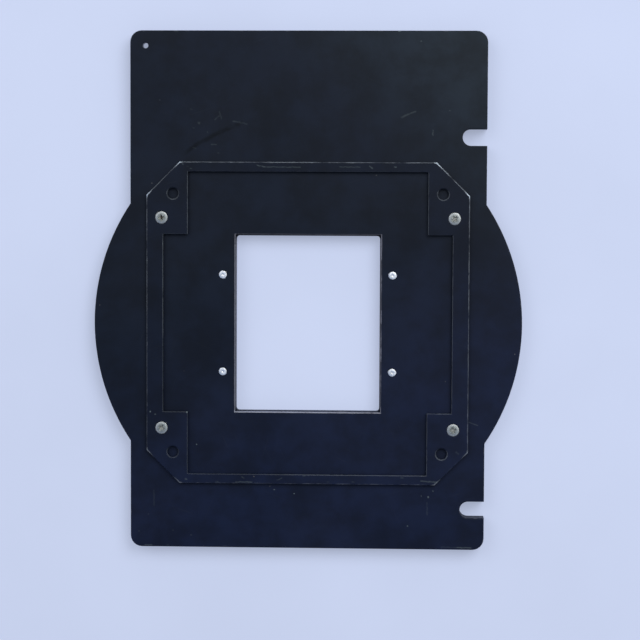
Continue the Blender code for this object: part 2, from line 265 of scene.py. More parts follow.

# Zinc plate: blotches and grain as features per metre, rim, recess painted paler as partly packed
# filling and partly painted light, dirt and stains
ZINC_BLOTCHES = {"Scale": 1100.0, "Detail": 4.0}
ZINC_GRAIN = {"Scale": 5200.0, "Detail": 3.0}
ZINC_SPREAD = 0.05
ZINC_RIM = (0.55 * HEAD_RADIUS, 0.85 * HEAD_RADIUS)
ZINC_RIM_RAGGED = 0.0008
ZINC_INSIDE = (-0.00022, -0.0006)
ZINC_DIRT = (0.0013, 0.0008)
ZINC_DIRT_NARROWER = 2.1
ZINC_STAINED = (0.54, 0.70)
ZINC_STAIN_SHARE = 0.45
ZINC_BRIGHTENED = (0.5, 0.3)
ZINC_BRIGHT_SHARE = 0.4
ZINC_ROUGHNESS = (0.3, 0.7, 0.42, 0.54)
ZINC_DIRT_ROUGHER = 0.25
ZINC_METALLIC = 0.85
ZINC_DULLER = 0.7
ZINC_GRAIN_HEIGHT = 0.6
ZINC_BLOTCH_HEIGHT = 0.4
ZINC_BUMP = (0.00002, 0.5)

# Turned steel: blotches, tool rings in radians per metre, scratches, and grime by dimple and side
STEEL_BLOTCHES = (0.0009, 4)
STEEL_BLOTCHED = (0.3, 0.7)
STEEL_RINGS = 68000.0
STEEL_SCRATCHES = ((0.00006, 0.0012, 1), 2, 0.6, 0.5)
STEEL_SCRATCHED = (0.62, 0.74)
STEEL_GRIME_RING = (0.00020, 0.00005)
STEEL_GRIME_SIDE = (PIN_RADIUS - 0.00014, PIN_RADIUS - 0.00002)
STEEL_GRIME_SHARE = (0.25, 0.6, 0.10, 0.55)
STEEL_ROUGHNESS = (0.3, 0.7, 0.36, 0.44)
STEEL_SCRATCH_ROUGHER = 0.1
STEEL_GRIME_DULLER = 0.4
STEEL_RING_HEIGHT = 0.25
STEEL_SCRATCH_HEIGHT = 0.5
STEEL_BUMP = (0.00001, 0.3)
METAL_SPECULAR = 0.5

# Floor: pale paper, the share of its plain tone in what is seen of it, and where it fades out
FLOOR_SIZE = 12.0
FLOOR_COLOUR = (0.58, 0.65, 0.86)
FLOOR_MOTTLE = ((0.12, 4), (0.3, 0.7, 0.98, 1.02))
FLOOR_SPECULAR = 0.1
FLOOR_ROUGHNESS = 0.9
FLOOR_GRAIN = (0.0012, 3)
FLOOR_BUMP = (0.00005, 0.2)
FLOOR_SEEN_SHARE = 0.55
FLOOR_FADE = (0.5, 1.7)

# Tones
PLATE_TONE = (0.0023, 0.0047, 0.0118, 1)
FRAME_TONE = (0.0017, 0.0039, 0.0110, 1)
PAINTED_REFLECTION_TONE = (0.0030, 0.0062, 0.0215, 1)
PAINTED_SHEEN_TONE = (0.0080, 0.0132, 0.0210, 1)
HAIRLINE_TONE = (0.036, 0.044, 0.050, 1)
DUST_TONE = (0.12, 0.12, 0.125, 1)
SCUFF_TONE = (0.120, 0.155, 0.170, 1)
BARE_TONE = (0.42, 0.47, 0.54, 1)
FILED_TONE = (0.47, 0.47, 0.54, 1)
DRILLED_TONE = (0.24, 0.25, 0.31, 1)
ZINC_TONE = (0.213, 0.219, 0.203, 1)
ZINC_RIM_TONE = (0.326, 0.330, 0.326, 1)
ZINC_BRIGHT_TONE = (0.405, 0.41, 0.405, 1)
ZINC_RECESS_FILL_AND_LIGHT_TONE = (0.34, 0.35, 0.335, 1)
ZINC_DIRT_TONE = (0.045, 0.038, 0.032, 1)
STEEL_TONES = ((0.67, 0.64, 0.64, 1), (0.77, 0.74, 0.74, 1))
STEEL_GRIME_TONE = (0.20, 0.20, 0.21, 1)

# Scuffs on the front plate in millimetres: start, end, half width, and strength
PLATE_MARKS = (
    (-28.9, 65.2, -27.8, 65.0, 0.30, 0.16),
    (-27.8, 65.0, -23.6, 64.2, 0.34, 0.09),
    (-34.2, 68.7, -33.3, 66.1, 0.34, 0.08),
    (-35.9, 65.9, -34.3, 67.2, 0.30, 0.10),
    (-45.4, 69.8, -44.8, 69.6, 0.36, 0.05),
    (-42.3, 64.6, -42.0, 64.5, 0.42, 0.16),
    (-44.2, 62.7, -44.0, 62.6, 0.34, 0.06),
    (-37.3, 56.3, -35.5, 56.3, 0.24, 0.14),
    (-34.7, 53.0, -34.5, 53.0, 0.30, 0.14),
    (-57.3, 73.3, -57.1, 73.3, 0.25, 0.16),
    (-44.4, 55.0, -43.2, 54.8, 0.26, 0.07),
    (-38.8, 61.1, -38.7, 60.8, 0.26, 0.10),
    (43.0, 95.9, 43.1, 95.9, 0.25, 0.40),
    (35.8, 66.9, 38.8, 68.3, 0.34, 0.17),
    (38.8, 68.3, 41.1, 69.1, 0.26, 0.20),
    (47.8, 62.0, 47.8, 60.2, 0.26, 0.24),
    (54.2, 69.4, 54.3, 69.4, 0.25, 0.26),
    (-12.7, -77.1, -12.6, -77.1, 0.22, 0.60),
    (-4.9, -78.6, -4.8, -78.6, 0.22, 0.68),
    (-42.9, -59.8, -42.8, -59.8, 0.20, 0.75),
    (48.9, -77.0, 49.0, -77.1, 0.26, 0.34),
    (47.0, -79.4, 47.1, -79.6, 0.30, 0.78),
    (46.6, -81.7, 46.7, -86.4, 0.25, 0.10),
    (44.3, -79.0, 44.4, -79.1, 0.22, 0.40),
    (39.1, -90.8, 39.2, -90.8, 0.24, 0.66),
    (-59.5, -77.8, -59.5, -83.7, 0.30, 0.07),
    (-61.8, -87.2, -61.7, -87.2, 0.24, 0.12),
    (-65.4, -93.9, -65.3, -93.9, 0.22, 0.22),
    (-52.1, -93.4, -52.0, -93.4, 0.22, 0.15),
    (-45.0, -95.3, -44.9, -95.3, 0.22, 0.34),
    (62.0, -50.0, 66.0, -51.4, 0.20, 0.20),
    (-63.7, 99.4, -62.9, 99.4, 0.20, 0.09),
    (-57.0, 99.4, -56.3, 99.4, 0.18, 0.04),
    (-51.2, 99.4, -50.2, 99.4, 0.18, 0.14),
    (34.5, 99.6, 35.0, 99.6, 0.25, 0.85),
    (-63.0, -99.3, -60.3, -99.3, 0.22, 0.26),
    (-54.4, -99.3, -53.8, -99.3, 0.20, 0.16),
    (-32.2, -99.3, -31.4, -99.3, 0.22, 0.12),
    (58.4, -99.0, 63.8, -99.0, 0.22, 0.34),
    (52.2, -98.9, 58.4, -99.0, 0.20, 0.12),
)

# Scuffs on the locating frame, in the same form
FRAME_MARKS = (
    (-19.5, 48.4, -16.5, 47.7, 0.24, 0.30),
    (-16.5, 47.7, -3.0, 47.7, 0.24, 0.20),
    (12.3, 47.8, 20.0, 47.8, 0.22, 0.17),
    (23.7, 48.1, 24.8, 47.4, 0.28, 0.30),
    (33.2, 47.9, 33.8, 47.8, 0.22, 0.50),
    (-27.4, -74.0, -21.1, -74.0, 0.25, 0.24),
    (-35.0, -74.0, -34.4, -74.1, 0.30, 0.14),
    (-25.0, -72.0, -24.3, -72.5, 0.25, 0.15),
    (-11.5, -73.1, -9.5, -72.3, 0.22, 0.15),
    (-1.4, -71.4, -0.6, -71.4, 0.22, 0.17),
    (36.5, -71.8, 37.3, -71.8, 0.22, 0.20),
    (17.6, -73.6, 18.4, -73.6, 0.22, 0.12),
    (7.9, -73.7, 8.7, -73.7, 0.22, 0.09),
    (44.2, -72.9, 51.9, -73.5, 0.30, 0.24),
    (-60.8, -46.9, -60.7, -46.9, 0.26, 0.80),
    (-58.9, -47.9, -58.7, -47.9, 0.26, 0.42),
    (-48.4, 48.9, -48.0, 48.6, 0.24, 0.24),
    (-46.5, 47.9, -46.1, 47.7, 0.24, 0.06),
    (-45.1, 47.1, -44.7, 47.0, 0.24, 0.20),
    (-46.4, -47.0, -46.3, -47.0, 0.34, 0.95),
    (-47.0, -73.1, -46.6, -73.1, 0.36, 0.25),
    (57.6, -61.7, 58.5, -62.2, 0.34, 0.14),
)

# Scuffs on the back plate's rear face, in the same form
BACK_MARKS = (
    (-41.0, 58.0, -22.0, 66.5, 0.20, 0.35),
    (18.0, 77.0, 33.0, 74.0, 0.22, 0.30),
    (-54.0, -66.0, -48.0, -79.0, 0.20, 0.35),
    (44.0, -58.0, 47.5, -60.5, 0.25, 0.45),
    (52.0, 20.0, 60.0, 31.0, 0.20, 0.30),
    (-62.0, -4.0, -58.0, 12.0, 0.22, 0.25),
)

front_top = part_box("front_plate")[1].z
frame_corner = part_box("locating_frame")[1]
frame_top = frame_corner.z


def new_object(name, data, location=(0, 0, 0)):
    made = bpy.data.objects.new(name, data)
    made.location = location
    bpy.context.scene.collection.objects.link(made)
    return made


def finished(piece, node, material):
    """Puts a finished piece in the place of a CAD node, on the same body and with its finish."""
    piece.data.materials.append(material)
    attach(piece, frame["nodes"][node]["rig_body"])
    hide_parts(node)


def middle_of(node, height):
    low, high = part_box(node)
    return Vector(((low.x + high.x) / 2, (low.y + high.y) / 2, height))


screw_places = {corner: middle_of("frame_screw_" + corner, frame_top) for corner in SCREW_TURNS}
pin_places = {corner: middle_of("guide_pin_" + corner, front_top) for corner in SCREW_TURNS}


# Outlines


def area(loop):
    return sum(loop[index - 1].cross(point) for index, point in enumerate(loop)) / 2


def cap_loops(node, level):
    """The closed edges of a node's flat top, largest first, with the metal on the left of each."""
    cap = bmesh.new()
    cap.from_mesh(frame["nodes"][node].data)
    bmesh.ops.remove_doubles(cap, verts=cap.verts, dist=WELD)
    cap.verts.index_update()
    walks = set()
    for face in cap.faces:
        if all(abs(vert.co.z - level) < WELD for vert in face.verts):
            walks.update((loop.vert.index, loop.link_loop_next.vert.index) for loop in face.loops)
    places = [vert.co.xy for vert in cap.verts]
    cap.free()
    following = {start: end for start, end in sorted(walks) if (end, start) not in walks}
    loops = []
    while following:
        start, end = following.popitem()
        walk = [start]
        while end != start:
            walk.append(end)
            end = following.pop(end)
        loops.append([Vector(places[index]) for index in walk])
    return sorted(loops, key=lambda loop: -abs(area(loop)))


def circle_of(loop):
    centre = sum(loop, Vector((0, 0))) / len(loop)
    return centre, sum((point - centre).length for point in loop) / len(loop)


def circle(centre, radius):
    """A round hole's edge, walked clockwise, so that the metal lies on its left."""
    turns = [-2 * math.pi * step / ROUND_STEPS for step in range(ROUND_STEPS)]
    return [centre + radius * Vector((math.cos(turn), math.sin(turn))) for turn in turns]


def stepped(loop):
    """The loop with more points along its long edges."""
    points = []
    for index, end in enumerate(loop):
        start = loop[index - 1]
        count = max(1, round((end - start).length / EDGE_STEP))
        points += [start.lerp(end, number / count) for number in range(1, count + 1)]
    return points


def outward(loop):
    """How far each point moves out of the metal for each metre that its two edges move."""
    moves = []
    for index, point in enumerate(loop):
        before = (point - loop[index - 1]).normalized()
        after = (loop[(index + 1) % len(loop)] - point).normalized()
        sides = [Vector((edge.y, -edge.x)) for edge in (before, after)]
        middle = (sides[0] + sides[1]).normalized()
        moves.append(middle / middle.dot(sides[1]))
    return moves


def near(centre, places, reach):
    return any((centre - place.xy).length < reach for place in places.values())


def rounding(radius):
    """Steps of (out, drop) over a rounded edge, from its flat face down to its upright one."""
    turns = [math.radians(tilt) for tilt in EDGE_TILTS]
    return [(radius * math.sin(turn), radius * (1 - math.cos(turn))) for turn in turns]


# Walls: steps of (out, drop, sway) from the top face down, out of the metal, down, and uneven


def upper_edge(sway):
    """A flat band and a rounded edge, which is even again where it ends."""
    rounded = [(out, drop, sway * (1 - drop / EDGE_BREAK)) for out, drop in rounding(EDGE_BREAK)]
    return [(-EDGE_LAP, 0, sway), *rounded]


def lower_edge(thickness, sway, out=0.0):
    upper = reversed(upper_edge(sway))
    return [(out + step_out, thickness - drop, sway) for step_out, drop, sway in upper]


def broken_wall(thickness, sway):
    return upper_edge(sway) + lower_edge(thickness, sway)


def plain_wall(thickness):
    return [(0, 0, 0), (0, thickness, 0)]


def front_gate_wall(thickness):
    """A filed flare over a plain wall with a broken lower edge."""
    middle = (FLARE_START + GATE_REACH) / 2
    flare = [(FLARE_START, 0, GATE_SWAY), (middle, FLARE_BOW * FLARE_DEPTH, 0)]
    flare.append((GATE_REACH, FLARE_DEPTH, 0))
    return flare + lower_edge(thickness, 0, GATE_REACH - EDGE_BREAK)


def back_gate_wall(thickness):
    return broken_wall(thickness, GATE_SWAY)


# Meshes


def cap_triangles(rings):
    """Triangles over the metal of a flat cap, whose rings have the metal on their left."""
    verts, owners, edges = [], [], []
    for number, ring in enumerate(rings):
        first = len(verts)
        edges += [(first + index, first + (index + 1) % len(ring)) for index in range(len(ring))]
        verts += ring
        owners += [number] * len(ring)
    places = [vert.co.xy for vert in verts]
    faces, sources = delaunay_2d_cdt(places, edges, [], 0, 0)[2:4]
    triangles = []
    for face in faces:
        walk = sorted(sources[corner][0] for corner in face)
        start, middle, end = (places[index] for index in walk)
        joins_rings = len({owners[index] for index in walk}) > 1
        # A triangle between corners of one ring lies on the metal if they turn to the left
        if joins_rings or (middle - start).cross(end - start) > 0:
            triangles.append([verts[index] for index in walk])
    return triangles


def plate_mesh(name, top, walls):
    """A plate from its walls, each a loop at its top face with its steps down to the lower face."""
    built = bmesh.new()
    caps = ([], [])
    for loop, steps in walls:
        waves = [noise.noise(Vector((*point, 0)) / SWAY_LENGTH) for point in loop]
        moved = list(zip(loop, outward(loop), waves))
        rings = []
        for out, drop, sway in steps:
            places = [point + move * (out + sway * wave) for point, move, wave in moved]
            rings.append([built.verts.new((*place, top - drop)) for place in places])
        for upper, lower in zip(rings, rings[1:]):
            for index in range(len(loop)):
                corners = (upper[index - 1], lower[index - 1], lower[index], upper[index])
                built.faces.new(corners).smooth = True
        caps[0].append(rings[0])
        caps[1].append(rings[-1])
    for rings in caps:
        for corners in cap_triangles(rings):
            built.faces.new(corners)
    return made_mesh(name, built)


def turned_mesh(name, profile):
    """A profile of (radius, height) points, from the top down, turned about Z."""
    built = bmesh.new()
    rings = []
    for radius, height in profile:
        if radius == 0:
            rings.append([built.verts.new((0, 0, height))] * ROUND_STEPS)
        else:
            places = circle(Vector((0, 0)), radius)
            rings.append([built.verts.new((*place, height)) for place in places])
    for upper, lower in zip(rings, rings[1:]):
        for index in range(ROUND_STEPS):
            corners = (upper[index - 1], upper[index], lower[index], lower[index - 1])
            built.faces.new(tuple(dict.fromkeys(corners))).smooth = True
    return made_mesh(name, built)


def rounded_rim(radius, height, break_radius):
    """The profile of a round piece's rounded upper rim, from its face outward and down."""
    steps = rounding(break_radius)
    return [(radius - break_radius + out, height - drop) for out, drop in steps]


def made_mesh(name, built):
    """The built mesh, in which flat faces stay flat and the others are smooth up to sharp edges."""
    bmesh.ops.recalc_face_normals(built, faces=built.faces)
    smooth = [face.smooth for face in built.faces]
    mesh = bpy.data.meshes.new(name)
    built.to_mesh(mesh)
    built.free()
    mesh.set_sharp_from_angle(angle=SHARP_ANGLE)
    mesh.polygons.foreach_set("use_smooth", smooth)
    return mesh


# Shader nodes


class Nodes:
    """A node tree with short ways to add to it; values pass between its nodes as sockets."""

    def __init__(self, tree):
        self.tree = tree

    def node(self, kind, inputs=(), **settings):
        made = self.tree.nodes.new("ShaderNode" + kind)
        for name, value in settings.items():
            setattr(made, name, value)
        for name, value in dict(inputs).items():
            if isinstance(value, bpy.types.NodeSocket):
                self.tree.links.new(value, made.inputs[name])
            else:
                made.inputs[name].default_value = value
        return made

    def math(self, operation, first, second=0.0):
        return self.node("Math", {0: first, 1: second}, operation=operation).outputs[0]

    def plus(self, first, *others):
        for other in others:
            first = self.math("ADD", first, other)
        return first

    def times(self, first, *others):
        for other in others:
            first = self.math("MULTIPLY", first, other)
        return first

    def less(self, first, second):
        return self.math("SUBTRACT", first, second)

    def size(self, value):
        return self.math("ABSOLUTE", value)

    def most(self, first, *others):
        for other in others:
            first = self.math("MAXIMUM", first, other)
        return first

    def least(self, first, *others):
        for other in others:
            first = self.math("MINIMUM", first, other)
        return first

    def step(self, value, low, high, start=0.0, end=1.0):
        """A smooth step from start to end as the value goes from low to high."""
        inputs = {"Value": value, "From Min": low, "From Max": high, "To Min": start, "To Max": end}
        return self.node("MapRange", inputs, interpolation_type="SMOOTHSTEP").outputs[0]

    def vector(self, operation, first, second=(0, 0, 0)):
        """The outputs of an operation on vectors: a vector first, and a value by the name Value."""
        return self.node("VectorMath", {0: first, 1: second}, operation=operation).outputs

    def length(self, vector):
        return self.vector("LENGTH", vector)["Value"]

    def scaled(self, vector, factor):
        return self.node("VectorMath", {0: vector, "Scale": factor}, operation="SCALE").outputs[0]

    def axes(self, vector):
        return self.node("SeparateXYZ", {0: vector}).outputs

    def mix(self, share, first, second):
        return self.node("Mix", {0: share, 6: first, 7: second}, data_type="RGBA").outputs[2]


class Look(Nodes):
    """A material, with the place and the direction of its surface."""

    def __init__(self, name, specular):
        self.material = bpy.data.materials.new(name)
        self.material.use_nodes = True
        super().__init__(self.material.node_tree)
        self.shader = self.tree.nodes["Principled BSDF"]
        self.shader.inputs["Specular IOR Level"].default_value = specular
        places = self.node("TexCoord")
        self.place = places.outputs["Object"]
        self.x, self.y, self.z = self.axes(self.place)
        facing = self.axes(places.outputs["Normal"])
        self.up_page = facing[1]
        self.lean = self.size(facing[2])

    def flat(self, place):
        return self.vector("MULTIPLY", place, (1, 1, 0))[0]

    def across(self, x, y):
        """The length of a flat step of x and y."""
        return self.length(self.node("CombineXYZ", {0: x, 1: y}).outputs[0])

    def noise(self, sizes, detail=3.0, roughness=0.55, turn=0.0):
        """Noise whose features are as large as the sizes say, in metres, along turned axes."""
        inputs = {"Vector": self.place, "Rotation": (0, 0, turn), "Scale": sizes}
        turned = self.node("Mapping", inputs, vector_type="TEXTURE").outputs[0]
        inputs = {"Vector": turned, "Scale": 1.0, "Detail": detail, "Roughness": roughness}
        return self.node("TexNoise", inputs).outputs[0]

    def even_noise(self, size, *shape):
        return self.noise((size, size, size), *shape)

    def pattern(self, shape, ends):
        """Even noise through a smooth step, both in the form of the values at the top."""
        return self.step(self.even_noise(*shape), *ends)

    def bump(self, height, distance, strength):
        inputs = {"Height": height, "Distance": distance, "Strength": strength}
        return self.node("Bump", inputs).outputs[0]

    def shade(self, **values):
        for name, value in values.items():
            self.tree.links.new(value, self.shader.inputs[name.replace("_", " ").title()])
        return self.material


# Black finish


def scuff_group():
    """A node group that adds one scuff, along the line between two points, to a mask."""
    group = bpy.data.node_groups.new("scuff", "ShaderNodeTree")
    sockets = {"Place": "Vector", "Start": "Vector", "End": "Vector"}
    sockets.update({"Reach": "Float", "Strength": "Float", "Below": "Float"})
    for name, kind in sockets.items():
        group.interface.new_socket(name, in_out="INPUT", socket_type="NodeSocket" + kind)
    group.interface.new_socket("Mask", in_out="OUTPUT", socket_type="NodeSocketFloat")
    taken = group.nodes.new("NodeGroupInput").outputs
    nodes = Nodes(group)
    line = nodes.vector("SUBTRACT", taken["End"], taken["Start"])[0]
    whole = nodes.vector("DOT_PRODUCT", line, line)["Value"]
    reach = nodes.vector("SUBTRACT", taken["Place"], taken["Start"])[0]
    along = nodes.vector("DOT_PRODUCT", reach, line)["Value"]
    share = nodes.math("DIVIDE", along, whole)
    share.node.use_clamp = True
    gap = nodes.vector("SUBTRACT", reach, nodes.scaled(line, share))[0]
    scuff = nodes.step(nodes.length(gap), taken["Reach"], 0.0, 0.0, taken["Strength"])
    mask = nodes.most(scuff, taken["Below"])
    group.links.new(mask, group.nodes.new("NodeGroupOutput").inputs["Mask"])
    return group


def mark_mask(look, marks, group):
    """Scuffs and scratches along lines, with ragged edges."""
    shake = look.node("TexNoise", {"Vector": look.place, **MARK_SHAKES}).outputs[1]
    centred = look.vector("SUBTRACT", shake, [NOISE_MIDDLE] * 3)[0]
    moved = look.vector("ADD", look.place, look.scaled(centred, MARK_SHAKE_REACH))[0]
    flat = look.flat(moved)
    mask = 0.0
    for start_x, start_y, end_x, end_y, half, strength in marks:
        inputs = {"Place": flat, "Strength": strength, "Below": mask}
        inputs["Start"] = (start_x * MILLIMETRE, start_y * MILLIMETRE, 0)
        inputs["End"] = (end_x * MILLIMETRE, end_y * MILLIMETRE, 0)
        inputs["Reach"] = MARK_SOFTNESS * half * MILLIMETRE
        mask = look.node("Group", inputs, node_tree=group).outputs[0]
    return look.times(mask, look.pattern(*MARK_PIECES))


def hairline(look, turn):
    """Short pieces of long thin scratches that run roughly one way."""
    drift = look.noise(*HAIRLINE_COURSE, turn)
    line = look.step(look.size(look.less(drift, NOISE_MIDDLE)), *HAIRLINE_WIDTH)
    return look.times(line, look.step(look.noise(*HAIRLINE_BREAKS, turn), *HAIRLINE_PIECES))


def dust_specks(look):
    cells = look.node("TexVoronoi", {"Vector": look.place, "Scale": DUST_CELLS})
    chosen = look.step(look.axes(cells.outputs["Color"])[0], *DUST_CHOSEN)
    return look.times(look.step(cells.outputs["Distance"], *DUST_SPOT), chosen)


def black_finish(look, tone, scuffs, bare_and_lit, polished=0.0, painted_sheen=0.0):
    """Satin black anodising with grain, smudges, dust, hairlines, scuffs and bared places that carry
    painted highlight, painted bluer towards the lower right as a painted reflection and paler where a
    painted sheen is given.
    """
    mottle = look.pattern(*MOTTLE)
    grain = look.even_noise(*GRAIN)
    fine = look.even_noise(*FINE_GRAIN)
    hairs = look.most(*(hairline(look, turn) for turn in HAIRLINE_TURNS))
    # Painted reflection: the black is painted bluer towards the lower right
    painted_reflection = look.step(look.less(look.y, look.times(look.x, PAINTED_REFLECTION_SLOPE)), *PAINTED_REFLECTION_BAND)

    # Painted sheen: where the sheen mask is set, the black is painted paler
    colour = look.mix(painted_sheen, look.mix(painted_reflection, tone, PAINTED_REFLECTION_TONE), PAINTED_SHEEN_TONE)
    dimming = look.less(1.0, look.times(POLISHED_DARKER, polished))
    colour = look.scaled(colour, look.times(mottle, dimming))
    colour = look.mix(look.times(hairs, HAIRLINE_SHARE), colour, HAIRLINE_TONE)
    colour = look.mix(look.times(dust_specks(look), DUST_SHARE), colour, DUST_TONE)
    colour = look.mix(scuffs, colour, SCUFF_TONE)
    for mask, bare_tone in bare_and_lit:
        colour = look.mix(mask, colour, bare_tone)
    worn_and_lit = look.most(*(mask for mask, bare_tone in bare_and_lit))

    rough = look.plus(look.pattern(*SMUDGES), look.times(grain, GRAIN_ROUGHNESS))
    smoother = look.plus(look.times(worn_and_lit, WORN_SMOOTHER), look.times(polished, POLISHED_SMOOTHER))
    height = look.plus(look.times(grain, GRAIN_HEIGHT), look.times(fine, FINE_GRAIN_HEIGHT))
    return look.shade(
        base_color=colour,
        roughness=look.less(rough, smoother),
        metallic=look.times(worn_and_lit, BARE_METALLIC),
        normal=look.bump(height, *BLACK_BUMP),
    )


def front_plate_finish(group):
    look = Look("front_plate_black", BLACK_SPECULAR)
    scuffs = mark_mask(look, PLATE_MARKS, group)
    bare_and_lit = ((front_plate_wear_and_highlight(look), FILED_TONE), (hang_hole(look), DRILLED_TONE))
    # Painted sheen: the front plate's upper right corner is painted paler
    painted_sheen = look.step(look.plus(look.x, look.y), *PAINTED_SHEEN_BAND)
    return black_finish(look, PLATE_TONE, scuffs, bare_and_lit, stage_ring(look), painted_sheen)


def back_plate_finish(group):
    look = Look("back_plate_black", BLACK_SPECULAR)
    scuffs = mark_mask(look, BACK_MARKS, group)
    bare_and_lit = ((back_plate_wear_and_highlight(look), FILED_TONE), (hang_hole(look), DRILLED_TONE))
    return black_finish(look, PLATE_TONE, scuffs, bare_and_lit)


def frame_finish(group):
    look = Look("stage_frame_black", BLACK_SPECULAR)
    scuffs = mark_mask(look, FRAME_MARKS, group)
    return black_finish(look, FRAME_TONE, scuffs, [(frame_wear_and_highlight(look), BARE_TONE)])


# Wear


def gate_y(look):
    """How far a place is from the gate's centre along Y, with its sign."""
    return look.less(look.y, GATE_CENTRE.y)


def hang_hole(look):
    """A paler, bluish metal tone on the upright wall of the hanging hole."""
    reach = look.across(look.less(look.x, HANG_HOLE.x), look.less(look.y, HANG_HOLE.y))
    return look.times(look.step(reach, *DRILLED_REACH), look.step(look.lean, *DRILLED_LEAN))


def stage_ring(look):
    """The arc that the enlarger's stage, rubbing on it, has left smoother above the frame, fading to the
    right.
    """
    off_y = gate_y(look)
    uneven = look.times(look.less(look.even_noise(*RING_RAGGED), NOISE_MIDDLE), RING_RAGGED_REACH)
    ragged = look.plus(look.across(look.x, off_y), uneven)
    ring = look.step(look.size(look.less(ragged, STAGE_RING)), *RING_WIDTH)
    part = look.times(look.step(look.x, *RING_LEFT_END), look.step(look.x, *RING_RIGHT_END))
    return look.times(ring, part, look.pattern(*RING_PIECES), look.step(off_y, *RING_LOWER_END))


def chamfer(look):
    """One where the surface leans between flat and upright."""
    from_upright = look.step(look.lean, *CHAMFER_FROM_UPRIGHT)
    return look.times(from_upright, look.step(look.lean, *CHAMFER_FROM_FLAT))


def edge_wear_and_highlight(look, pieces, strength):
    """Broken wear along the edges, least on those that face down the page, a painted highlight on edges
    that face up it.
    """
    # Painted highlight: the wear is scaled by how far the edge faces up the page
    rubbed_and_lit = look.times(look.pattern(*pieces), look.step(look.up_page, *PAINTED_HIGHLIGHT_BY_FACING))
    return look.times(chamfer(look), rubbed_and_lit, strength)


def around_gate(look, off_y, reach_x, reach_y):
    return look.times(look.step(look.size(look.x), *reach_x), look.step(look.size(off_y), *reach_y))


def front_plate_wear_and_highlight(look):
    """Bare metal where the gate's flare is filed, most on its lower side as partly painted highlight,
    and thin edge wear with painted highlight where edges face up the page.
    """
    off_y = gate_y(look)
    around = around_gate(look, off_y, FLARE_AROUND_X, FLARE_AROUND_Y)
    upper = look.step(look.z, *(front_top - drop for drop in FLARE_DROP))
    flare = look.times(around, upper, chamfer(look))
    # Painted highlight: the flare's lower side, which faces up the page, is made barest over its filing
    lower = look.times(look.step(off_y, *FLARE_LOWER), look.step(look.x, *FLARE_LOWER_BY_X))
    left = look.step(look.x, *FLARE_LEFT)
    right = look.step(look.x, *FLARE_RIGHT, look.pattern(*FLARE_RIGHT_PATCHES))
    filed = look.times(look.most(lower, left, right), look.pattern(*FLARE_FILING))
    outer = edge_wear_and_highlight(look, PLATE_EDGE_WEAR, PLATE_EDGE_STRENGTH)
    return look.most(look.times(filed, flare), look.times(outer, look.less(1.0, around)))


def back_plate_wear_and_highlight(look):
    """Wear on the rim that shows inside the front plate's gate, most on its left, and thin edge wear
    with painted highlight on edges that face up the page.
    """
    off_y = gate_y(look)
    around = around_gate(look, off_y, RIM_AROUND_X, RIM_AROUND_Y)
    straight = look.step(look.size(off_y), *RIM_STRAIGHT_Y)
    left = look.times(look.step(look.x, *RIM_LEFT), look.step(look.x, *RIM_LEFT_END))
    rim = look.times(around, straight, look.most(left, RIM_STRENGTH))
    return look.most(rim, edge_wear_and_highlight(look, BACK_EDGE_WEAR, BACK_EDGE_STRENGTH))


def frame_rim_strength(look, off_y, slanted):
    """How bright the frame's bared rim is made: by place, more on the upper slants, and by the way it
    faces, as painted highlight over its wear.
    """
    # Painted highlight: the rim is brighter towards the top, on the upper slants and by facing up the
    # page
    by_place = look.times(look.step(look.x, *FRAME_RIM_BY_X), look.step(off_y, *FRAME_RIM_BY_Y))
    slants = look.times(look.step(off_y, *SLANT_BY_Y), look.step(look.x, *SLANT_BY_X))
    on_slants = look.step(slanted, *SLANT_REACH, 1.0, slants)
    down_page = look.step(look.up_page, *FRAME_RIM_DOWN_PAGE)
    up_page = look.step(look.up_page, *FRAME_RIM_UP_PAGE)
    return look.times(by_place, on_slants, down_page, up_page)


def frame_wear_and_highlight(look):
    """Worn outer edges, barest at the eight corners and upper right, with painted highlight towards the
    top and where they face up the page, and thin inner edge wear with the same painted highlight.
    """
    off_y = gate_y(look)
    half = frame_corner.x
    side_x = look.size(look.x)
    side_y = look.size(off_y)
    straight = look.least(look.less(half, side_x), look.less(half, side_y))
    past_corner = look.less(2 * half - FRAME_CORNER_CUT, look.plus(side_x, side_y))
    slanted = look.times(past_corner, math.sqrt(0.5))
    inward = look.least(straight, slanted)
    ragged = look.less(inward, look.times(look.even_noise(*FRAME_RAGGED), FRAME_RAGGED_REACH))

    rim = look.times(look.step(ragged, *FRAME_RIM), look.pattern(*FRAME_RIM_PIECES))
    rim = look.times(rim, frame_rim_strength(look, off_y, slanted))
    by_straight = look.times(straight, CORNER_STRAIGHT_SHARE)
    reach = look.plus(by_straight, look.times(slanted, CORNER_SLANT_SHARE))
    corner = look.times(look.step(reach, *CORNER_REACH), look.step(ragged, *CORNER_RIM))
    # Painted highlight: the corners are brighter towards the top
    corner = look.times(corner, look.step(off_y, *CORNER_BY_Y))
    upper = look.step(look.z, *(frame_top - drop for drop in FRAME_WEAR_DROP), *FRAME_WEAR_SHARES)

    inner = edge_wear_and_highlight(look, INNER_EDGE_WEAR, INNER_EDGE_STRENGTH)
    lower_left = look.times(look.step(look.x, *LOWER_LEFT_X), look.step(off_y, *LOWER_LEFT_Y))
    inner = look.times(inner, look.step(inward, *INNER_EDGE_REACH))
    inner = look.times(inner, look.step(lower_left, 0.0, 1.0, 1.0, LOWER_LEFT_SHARE))
    return look.most(look.times(look.most(rim, corner), upper), inner)


# Bright finishes and paper


